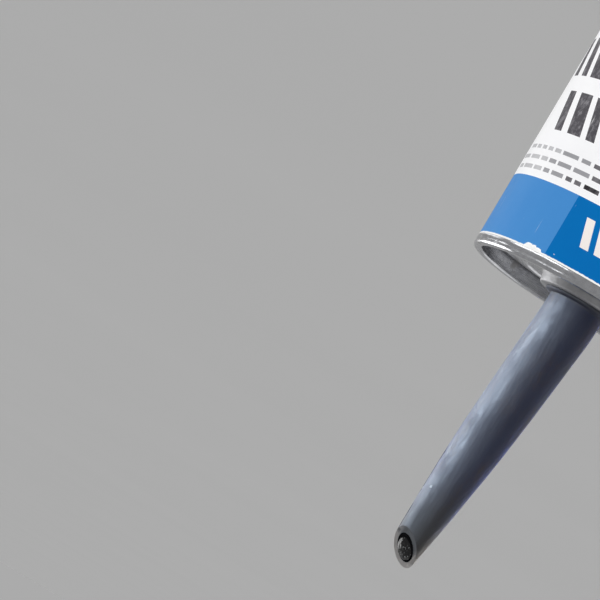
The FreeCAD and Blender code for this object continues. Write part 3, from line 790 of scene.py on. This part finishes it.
def nozzle_piece():
    around_n = 144
    angles = [2 * math.pi * i / around_n for i in range(around_n)]
    rings = []

    def straight(r, z):
        rings.append([(r * math.cos(a), r * math.sin(a), z) for a in angles])

    def bend(r, alpha):
        c = Vector((BEND_RADIUS * (1 - math.cos(alpha)), 0, BEND_START + BEND_RADIUS * math.sin(alpha)))
        x_axis = Vector((math.cos(alpha), 0, -math.sin(alpha)))
        rings.append(
            [tuple(c + r * (math.cos(a) * x_axis + math.sin(a) * Vector((0, 1, 0)))) for a in angles]
        )

    def shaped(s, a, radius, outside):
        """The wall's small irregularities."""
        if outside:
            p = cone_point(s, a, radius)
            fade = min(1.0, s / 3.0)
            radius += fade * (0.030 * noise_at(p.x, p.y, p.z * 0.4, 3.2) + 0.075 * noise_at(p.x, p.y, p.z * 0.7, 7.5))
        return cone_point(s, a, radius)

    def cone(f, outside):
        sizes = OUTER if outside else INNER
        ring = []
        for i, a in enumerate(angles):
            s = f * 36.0 if f <= 1 else 36.0 + (f - 1) * ((cuts_out if outside else cuts_in)[i] - 36.0)
            ring.append(tuple(shaped(s, a, tapered(s, *sizes), outside)))
        rings.append(ring)

    cuts_out = [cut_station(a, OUTER) for a in angles]
    cuts_in = [cut_station(a, INNER) for a in angles]
    # outside, upwards
    for r, z in (
        (5.12, 213.95),
        (6.9, 213.95),
        (8.83, 213.95),
        (8.92, 213.99),
        (8.95, 214.08),
        (8.95, 215.12),
        (8.92, 215.21),
        (8.83, 215.25),
        (6.70, 215.25),
        (6.65, 215.28),
        (6.65, 215.65),
        (7.58, 215.65),
        (7.67, 215.68),
        (7.70, 215.76),
        (7.70, 215.97),
        (7.66, 216.08),
        (7.57, 216.14),
        (6.38, 216.40),
        (6.29, 216.44),
    ):
        straight(r, z)
    for i in range(7):
        bend(6.265, LEAN * i / 6)
    for i in range(1, 73):
        cone(i / 72, True)
    for i in range(1, 45):
        cone(1 + i / 44, True)
    # over the knife cut
    outer_ring, inner_ring = rings[-1], [
        tuple(cone_point(cuts_in[i], a, tapered(cuts_in[i], *INNER))) for i, a in enumerate(angles)
    ]
    for j, f in enumerate((0.06, 0.2, 0.4, 0.6, 0.8, 0.94)):
        ring = []
        for p, q in zip(outer_ring, inner_ring):
            v = Vector(p).lerp(Vector(q), f)
            rough = 0.045 * noise_at(v.x * 0.4, v.y * 0.4, v.z * 2.0, 0.5) - 0.02
            if j == 0:
                rough += 0.05 * max(0.0, noise_at(v.x, v.y, v.z, 0.6))
            ring.append(tuple(v + CUT_NORMAL * min(rough, 0.02)))
        rings.append(ring)
    # inside, downwards
    for i in range(22, 0, -1):
        cone(1 + i / 22, False)
    for i in range(24, 0, -1):
        cone(i / 24, False)
    for i in range(4, -1, -1):
        bend(5.0, LEAN * i / 4)
    for z in (215.6, 214.6, 214.05):
        straight(5.0, z)
    verts = [p for ring in rings for p in ring]
    n, m = len(rings), around_n
    faces = [
        (j * m + i, j * m + (i + 1) % m, ((j + 1) % n) * m + (i + 1) % m, ((j + 1) % n) * m + i)
        for j in range(n)
        for i in range(m)
    ]
    obj = mesh_object("nozzle_moulding", verts, faces, [nozzle_material()])
    bm = bmesh.new()
    bm.from_mesh(obj.data)
    bmesh.ops.recalc_face_normals(bm, faces=bm.faces)
    bm.to_mesh(obj.data)
    bm.free()
    obj.data.set_sharp_from_angle(angle=math.radians(40))
    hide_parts("nozzle")
    return obj


nozzle = nozzle_piece()


# -------------------------------------------------------------------- sealant
def sealant_material(name, sparkle=1.0):
    """Black, wet looking, with small bright dots painted into its colour as glints of caught light."""
    tree = Tree(name).set(Specular_IOR_Level=0.36)
    at = tree.position()
    cloud = tree.noise(at, 700, 4.0, 0.6)
    base = tree.ramp(cloud, [(0.3, srgb(6, 6, 7)), (0.7, srgb(16, 16, 18))])
    # painted highlight: the bright dots mixed into the colour below stand in for glints on the wet sealant; the same
    # cells also make small real bumps
    grain_and_glint = tree.voronoi(at, 3600)
    pick = tree.step(tree.noise(at, 2100, 2.0, 0.7), 0.56, 0.62)
    dot = tree.math("MULTIPLY", tree.math("SUBTRACT", 1.0, tree.step(grain_and_glint, 0.16, 0.30)), pick)
    dot = tree.math("MULTIPLY", dot, sparkle)
    tree.plug(tree.mix(dot, base, srgb(226, 230, 232)), "Base Color")
    tree.plug(tree.remap(tree.noise(at, 1500, 3.0, 0.6), 0.3, 0.7, 0.16, 0.42), "Roughness")
    lumps = tree.noise(at, 900, 3.0, 0.5)
    first = tree.bump(lumps, 0.4, 0.00022)
    tree.plug(tree.bump(grain_and_glint, 0.3, 0.00004, first), "Normal")
    return tree.mat


SEALANT = sealant_material("sealant_black")
PLAIN_SEALANT = sealant_material("sealant_black_inside", 0.15)


def wetted_material():
    """Sealant pressed against the wall that it is seen through: no gloss of its own there."""
    tree = Tree("sealant_black_wetted").set(Specular_IOR_Level=0.0)
    at = tree.position()
    cloud = tree.noise(at, 420, 4.0, 0.6)
    tree.plug(tree.ramp(cloud, [(0.35, (0.0022, 0.0022, 0.0026)), (0.75, (0.0060, 0.0058, 0.0066))]), "Base Color")
    tree.plug(tree.remap(cloud, 0.3, 0.7, 0.7, 0.95), "Roughness")
    tree.plug(tree.bump(cloud, 0.3, 0.0001), "Normal")
    return tree.mat


WETTED = wetted_material()


def nub_piece():
    """The rounded end of the sealant in the opening, drawn out unevenly when the flow stopped."""
    centre = BEND_END + LEAN_DIR * (CUT_AT - 0.12)
    verts, faces = [], []
    n_round, n_up = 120, 72
    for j in range(n_up + 1):
        v = math.pi * j / n_up
        for i in range(n_round):
            u = 2 * math.pi * i / n_round
            d = Vector((math.sin(v) * math.cos(u), math.sin(v) * math.sin(u), math.cos(v)))
            p = Vector((d.x * 2.66, d.y * 1.92, d.z * 1.22))
            lump = 0.20 * noise_at(p.x, p.y, p.z, 1.3) + 0.10 * noise_at(p.x, p.y, p.z + 9, 0.55)
            lump += 0.045 * noise_at(p.x, p.y, p.z + 4, 0.22)
            p += d * (lump + 0.03) * (0.25 + 0.75 * max(0.0, d.z))
            verts.append(tuple(centre + CUT_TURN @ p))
            if j < n_up:
                k = (i + 1) % n_round
                faces.append((j * n_round + i, (j + 1) * n_round + i, (j + 1) * n_round + k, j * n_round + k))
    obj = mesh_object("sealant_nub", verts, faces, [SEALANT])
    bm = bmesh.new()
    bm.from_mesh(obj.data)
    bmesh.ops.remove_doubles(bm, verts=bm.verts, dist=1e-7)
    bmesh.ops.recalc_face_normals(bm, faces=bm.faces)
    bm.to_mesh(obj.data)
    bm.free()
    return obj


nub = nub_piece()

def core_piece():
    """The sealant that fills the nozzle and wets its wall, up to the cut."""
    around_n = 96
    angles = [2 * math.pi * i / around_n for i in range(around_n)]
    wet = 0.03
    rings = []
    for r, z in ((0.0, 213.73), (1.2, 213.73), (2.05, 213.73), (2.05, 214.0), (3.5, 214.0), (4.9, 214.0), (5.0 + wet, 214.1), (5.0 + wet, 215.4)):
        rings.append([(r * math.cos(a), r * math.sin(a), z) for a in angles])
    y_axis = Vector((0, 1, 0))
    for k in range(6):
        alpha = LEAN * k / 5
        c = Vector((BEND_RADIUS * (1 - math.cos(alpha)), 0, BEND_START + BEND_RADIUS * math.sin(alpha)))
        x_axis = Vector((math.cos(alpha), 0, -math.sin(alpha)))
        rings.append(
            [tuple(c + (5.0 + wet) * (math.cos(a) * x_axis + math.sin(a) * y_axis)) for a in angles]
        )
    ends = [cut_station(a, INNER) for a in angles]
    for f in [k / 30 for k in range(1, 31)] + [1 + k / 24 for k in range(1, 25)]:
        ring = []
        for a, end in zip(angles, ends):
            s = f * 36.0 if f <= 1 else 36.0 + (f - 1) * (end - 36.0)
            ring.append(tuple(cone_point(s, a, tapered(s, *INNER) + wet)))
        rings.append(ring)
    last = rings[-1]
    middle = sum((Vector(p) for p in last), Vector()) / len(last)
    for f in (0.9, 0.7, 0.45, 0.2, 0.0):
        ring = []
        for p in last:
            v = middle.lerp(Vector(p), f)
            ring.append(tuple(v + CUT_NORMAL * (0.10 * (1 - f) + 0.03 * noise_at(v.x, v.y, v.z, 0.7))))
        rings.append(ring)
    verts = [p for ring in rings for p in ring]
    m = around_n
    faces = [
        (j * m + i, j * m + (i + 1) % m, (j + 1) * m + (i + 1) % m, (j + 1) * m + i)
        for j in range(len(rings) - 1)
        for i in range(m)
    ]
    obj = mesh_object("sealant_in_nozzle", verts, faces, [WETTED])
    bm = bmesh.new()
    bm.from_mesh(obj.data)
    bmesh.ops.remove_doubles(bm, verts=bm.verts, dist=1e-7)
    bmesh.ops.recalc_face_normals(bm, faces=bm.faces)
    bm.to_mesh(obj.data)
    bm.free()
    obj.data.set_sharp_from_angle(angle=math.radians(40))
    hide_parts("nozzle_sealant")
    return obj


core = core_piece()


def lathe(name, profile, materials, around_n=128, sharp=35, body="cartridge", shape=None):
    verts, faces = [], []
    n = len(profile)
    poles = [k for k, (r, z) in enumerate(profile) if r < 1e-6]
    for k, (r, z) in enumerate(profile):
        for i in range(around_n):
            a = 2 * math.pi * i / around_n
            rr, zz = shape(r, z, a) if shape else (r, z)
            verts.append((rr * math.cos(a), rr * math.sin(a), zz))
    for k in range(n - 1):
        for i in range(around_n):
            i2 = (i + 1) % around_n
            faces.append((k * around_n + i, k * around_n + i2, (k + 1) * around_n + i2, (k + 1) * around_n + i))
    obj = mesh_object(name, verts, faces, materials, body=body)
    bm = bmesh.new()
    bm.from_mesh(obj.data)
    if poles:
        bmesh.ops.remove_doubles(bm, verts=bm.verts, dist=1e-7)
    bmesh.ops.recalc_face_normals(bm, faces=bm.faces)
    bm.to_mesh(obj.data)
    bm.free()
    obj.data.set_sharp_from_angle(angle=math.radians(sharp))
    return obj


column = lathe(
    "sealant_in_barrel",
    [
        (0, 35.32),
        (4.5, 35.32),
        (9.0, 35.32),
        (12.0, 36.12),
        (17.0, 36.12),
        (23.0, 36.12),
        (23.62, 36.5),
    ]
    + [(23.62, 36.5 + (210.0 - 36.5) * i / 24) for i in range(1, 25)]
    + [
        (23.62, 210.40),
        (21.20, 210.40),
        (21.05, 212.05),
        (16.0, 212.35),
        (9.80, 212.80),
        (8.80, 213.70),
        (4.0, 213.70),
        (0, 213.70),
    ],
    [PLAIN_SEALANT],
    96,
)
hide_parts("sealant_column")
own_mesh(column)


for obj in (nozzle, core):
    card_lit.objects.link(obj)


# ----------------------------------------------------------------- metal end
def tinplate_material():
    """Drawn tinplate: fine lines round the axis, a little spangle, some dull spots."""
    tree = Tree("tinplate_bright").set(Metallic=1.0, Roughness=0.25)
    at = tree.position()
    r, az, z = polar_nodes(tree)
    ring = tree.combine(tree.math("MULTIPLY", r, 1.0), tree.math("MULTIPLY", az, 0.0006), z)
    lines = tree.noise(ring, 7000, 4.0, 0.7)
    spangle = tree.noise(at, 520, 4.0, 0.6, 0.8)
    dull = tree.step(tree.noise(at, 260, 5.0, 0.62), 0.56, 0.72)
    bright = tree.ramp(spangle, [(0.3, srgb(172, 173, 177)), (0.7, srgb(200, 201, 204))])
    tone = tree.mix(tree.math("MULTIPLY", dull, 0.5), bright, srgb(146, 142, 138))
    specks = tree.step(tree.noise(at, 1700, 3.0, 0.7), 0.70, 0.76)
    tone = tree.mix(tree.math("MULTIPLY", specks, 0.7), tone, srgb(70, 62, 56))
    foot = tree.math("SUBTRACT", 1.0, tree.step(r, 0.0098, 0.0112))
    tone = tree.mix(tree.math("MULTIPLY", foot, 0.45), tone, srgb(150, 149, 148))
    tree.plug(tone, "Base Color")
    rough = tree.remap(lines, 0.3, 0.7, 0.17, 0.34)
    rough = tree.math("SUBTRACT", rough, tree.math("MULTIPLY", tree.step(r, 0.0247, 0.0251), 0.10))
    hub = tree.math("SUBTRACT", 1.0, tree.step(r, 0.0098, 0.0112))
    rough = tree.math("ADD", rough, tree.math("MULTIPLY", hub, 0.34))
    tree.plug(tree.math("ADD", rough, tree.math("MULTIPLY", dull, 0.16)), "Roughness")
    waves = tree.noise(tree.combine(tree.math("MULTIPLY", az, 0.012), r, z), 520, 2.0, 0.5)
    first = tree.bump(waves, 0.35, 0.00022)
    tree.plug(tree.bump(lines, 0.35, 0.00003, first), "Normal")
    return tree.mat


TINPLATE = tinplate_material()


def rounded(corners, steps=6):
    """A profile from (r, z) or (r, z, radius) corners, its corners rounded."""
    out = []
    for k, corner in enumerate(corners):
        p = Vector(corner[:2])
        if len(corner) == 2 or k in (0, len(corners) - 1):
            out.append(tuple(p))
            continue
        a = (Vector(corners[k - 1][:2]) - p).normalized()
        b = (Vector(corners[k + 1][:2]) - p).normalized()
        half = a.angle(b) / 2
        back = corner[2] / math.tan(half)
        centre = p + (a + b).normalized() * (corner[2] / math.sin(half))
        start, end = p + a * back - centre, p + b * back - centre
        turn = math.atan2(start.x * end.y - start.y * end.x, start.dot(end))
        for i in range(steps + 1):
            c, d = math.cos(turn * i / steps), math.sin(turn * i / steps)
            out.append((centre.x + start.x * c - start.y * d, centre.y + start.x * d + start.y * c))
    return out


def end_plate():
    """The seamed tinplate end: rolled seam, deep chuck wall, groove, panel with its raised ring, and hub."""

    def panel(r):
        return 212.60 + 0.70 * (21.65 - r) / 11.75

    seam = [
        (25.23, 213.84),
        (25.235, 213.78),
        (25.262, 213.757),
        (25.336, 213.760),
        (25.362, 213.776),
        (25.378, 213.83),
        (25.394, 213.92),
        (25.410, 214.02),
        (25.420, 214.13),
        (25.426, 214.26),
        (25.428, 214.42),
        (25.428, 214.58),
        (25.412, 214.74),
        (25.392, 214.88),
        (25.394, 215.02),
        (25.404, 215.15),
        (25.418, 215.27),
        (25.428, 215.38),
    ]
    for k in range(1, 9):
        turn = math.pi / 2 * k / 8
        seam.append((24.808 + 0.62 * math.cos(turn), 215.38 + 0.62 * math.sin(turn)))
    face = rounded(
        [
            (24.60, 216.00),
            (23.45, 216.00, 0.55),
            (23.45, 211.00, 0.75),
            (21.65, 211.00, 0.75),
            (21.65, panel(21.65), 0.45),
            (17.20, panel(17.20), 0.40),
            (16.65, panel(16.65) + 0.50, 0.40),
            (14.55, panel(14.55) + 0.50, 0.40),
            (14.00, panel(14.00), 0.40),
            (9.90, 213.30, 0.60),
            (9.40, 215.60, 0.50),
            (6.75, 215.60),
            (6.75, 215.35),
            (9.15, 215.35, 0.25),
            (9.65, 213.05, 0.80),
            (13.90, panel(14.0) - 0.25, 0.40),
            (14.45, panel(14.55) + 0.25, 0.40),
            (16.75, panel(16.65) + 0.25, 0.40),
            (17.30, panel(17.20) - 0.25, 0.40),
            (21.40, panel(21.65) - 0.25, 0.25),
            (21.40, 210.75, 0.30),
            (23.68, 210.75, 0.90),
            (23.68, 215.75, 0.25),
            (25.21, 215.75, 0.25),
            (25.215, 213.90),
        ]
    )
    dense = []
    for (r0, z0), (r1, z1) in zip(face, face[1:]):
        n = max(1, math.ceil(math.hypot(r1 - r0, z1 - z0) / 0.9))
        dense += [(r0 + (r1 - r0) * i / n, z0 + (z1 - z0) * i / n) for i in range(n)]
    dense.append(face[-1])

    def shape(r, z, a):
        x, y = r * math.cos(a), r * math.sin(a)
        if r > 24.9 and z < 215.8:
            # the roller's slightly uneven pressure
            r -= 0.012 * (0.5 + 0.5 * noise_at(x, y, z * 1.4, 2.6)) + 0.008 * (0.5 + 0.5 * noise_at(x, y, z, 0.8))
        elif 10.4 < r < 21.2 and z > 212.3:
            z += 0.045 * noise_at(x, y, 3.0, 7.0)
        return r, z

    obj = lathe("tinplate_end", seam + dense, [TINPLATE], 256, 40, shape=shape)
    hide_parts("front_end")
    return obj


metal = end_plate()
rim_lit = bpy.data.collections.new("rim_lit")
rim_lit.objects.link(metal)
for name, place, size, power in (
    ("rim_card_left", around(48, 0, 0.37, (0, 0, 0.075)), (0.40, 0.11), 0.17),
    ("rim_card_right", around(-30, 0, 0.37, (0, 0, 0.02)), (0.50, 0.10), 0.60),
):
    rim_card = lamp(name, "AREA", place, power, size, (0, 0, 0.2137))
    rim_card.visible_diffuse = False
    rim_card.visible_transmission = False
    rim_card.light_linking.receiver_collection = rim_lit


# ----------------------------------------------------------- the other pieces
def board_material():
    """Spiral wound board: white outer ply, layered grey-brown cut end, kraft liner in the bore."""
    tree = Tree("paperboard_wound").set(Roughness=0.85, Specular_IOR_Level=0.25)
    at = tree.position()
    r, az, z = polar_nodes(tree)
    fibre = tree.noise(at, 1600, 5.0, 0.68)
    kraft = tree.ramp(fibre, [(0.3, srgb(146, 116, 82)), (0.7, srgb(182, 150, 112))])
    # plies, seen on the cut ends
    wave = tree.math("SINE", tree.math("MULTIPLY", r, 2 * math.pi / 0.00030))
    ply = tree.remap(wave, -1.0, 1.0, 0.0, 0.45)
    board = tree.mix(ply, kraft, srgb(108, 84, 58))
    white = tree.ramp(fibre, [(0.3, srgb(226, 224, 218)), (0.7, srgb(243, 242, 238))])
    outer = tree.step(r, 0.02508, 0.02511)
    board = tree.mix(outer, board, white)
    # the liner's spiral seam
    turn = tree.math("ADD", tree.math("MULTIPLY", az, 1 / (2 * math.pi)), tree.math("MULTIPLY", z, 1 / 0.078))
    phase = tree.math("ABSOLUTE", tree.math("SUBTRACT", tree.math("FRACT", turn), 0.5))
    seam = tree.math("SUBTRACT", 1.0, tree.step(phase, 0.004, 0.010))
    bore = tree.math("SUBTRACT", 1.0, tree.step(r, 0.02372, 0.02376))
    inner_seam = tree.math("MULTIPLY", seam, bore)
    board = tree.mix(tree.math("MULTIPLY", inner_seam, 0.6), board, srgb(84, 62, 40))
    tree.plug(board, "Base Color")
    tree.plug(tree.remap(fibre, 0.3, 0.7, 0.72, 0.95), "Roughness")
    first = tree.bump(tree.math("SUBTRACT", 1.0, seam), 0.8, 0.00012)
    second = tree.bump(ply, 0.5, 0.00008, first)
    tree.plug(tree.bump(fibre, 0.5, 0.00008, second), "Normal")
    return tree.mat


def foil_material():
    tree = Tree("foil_crinkled").set(Metallic=1.0, Roughness=0.28)
    at = tree.position()
    crease = tree.voronoi(tree.scaled(at, 1, 1, 0.2), 900, "DISTANCE_TO_EDGE")
    cloud = tree.noise(at, 900, 4.0, 0.6)
    tree.plug(tree.ramp(cloud, [(0.3, srgb(196, 196, 198)), (0.7, srgb(224, 224, 226))]), "Base Color")
    tree.plug(tree.remap(cloud, 0.3, 0.7, 0.2, 0.42), "Roughness")
    tree.plug(tree.bump(tree.step(crease, 0.0, 0.12), 0.6, 0.0001), "Normal")
    return tree.mat


def plunger_material():
    tree = Tree("plunger_polyethylene").set(
        Roughness=0.45, Subsurface_Weight=0.35, Subsurface_Scale=0.002, IOR=1.51
    )
    at = tree.position()
    r, az, z = polar_nodes(tree)
    cloud = tree.noise(at, 160, 4.0, 0.6)
    tone = tree.ramp(cloud, [(0.3, srgb(214, 217, 214)), (0.7, srgb(228, 230, 226))])
    grime = tree.step(tree.noise(at, 420, 5.0, 0.65), 0.62, 0.78)
    tree.plug(tree.mix(tree.math("MULTIPLY", grime, 0.22), tone, srgb(120, 116, 108)), "Base Color")
    fine = tree.noise(at, 1900, 4.0, 0.6)
    tree.plug(tree.remap(fine, 0.3, 0.7, 0.38, 0.56), "Roughness")
    rings = tree.noise(tree.combine(r, tree.math("MULTIPLY", az, 0.001), z), 2600, 3.0, 0.6)
    first = tree.bump(rings, 0.2, 0.00008)
    tree.plug(tree.bump(fine, 0.2, 0.00006, first), "Normal")
    return tree.mat


for name, material in {
    "barrel_tube": board_material(),
    "front_end": TINPLATE,
    "seal_membrane": foil_material(),
    "plunger": plunger_material(),
    "nozzle_sealant": PLAIN_SEALANT,
    "sealant_column": PLAIN_SEALANT,
    "printed_label": INK["white"],
    "nozzle": nozzle.data.materials[0],
}.items():
    data = nodes[name].data
    data.materials.clear()
    data.materials.append(material)
    data.polygons.foreach_set("material_index", np.zeros(len(data.polygons), dtype=np.int32))

# ----------------------------------------------------------------- the finish
low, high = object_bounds()
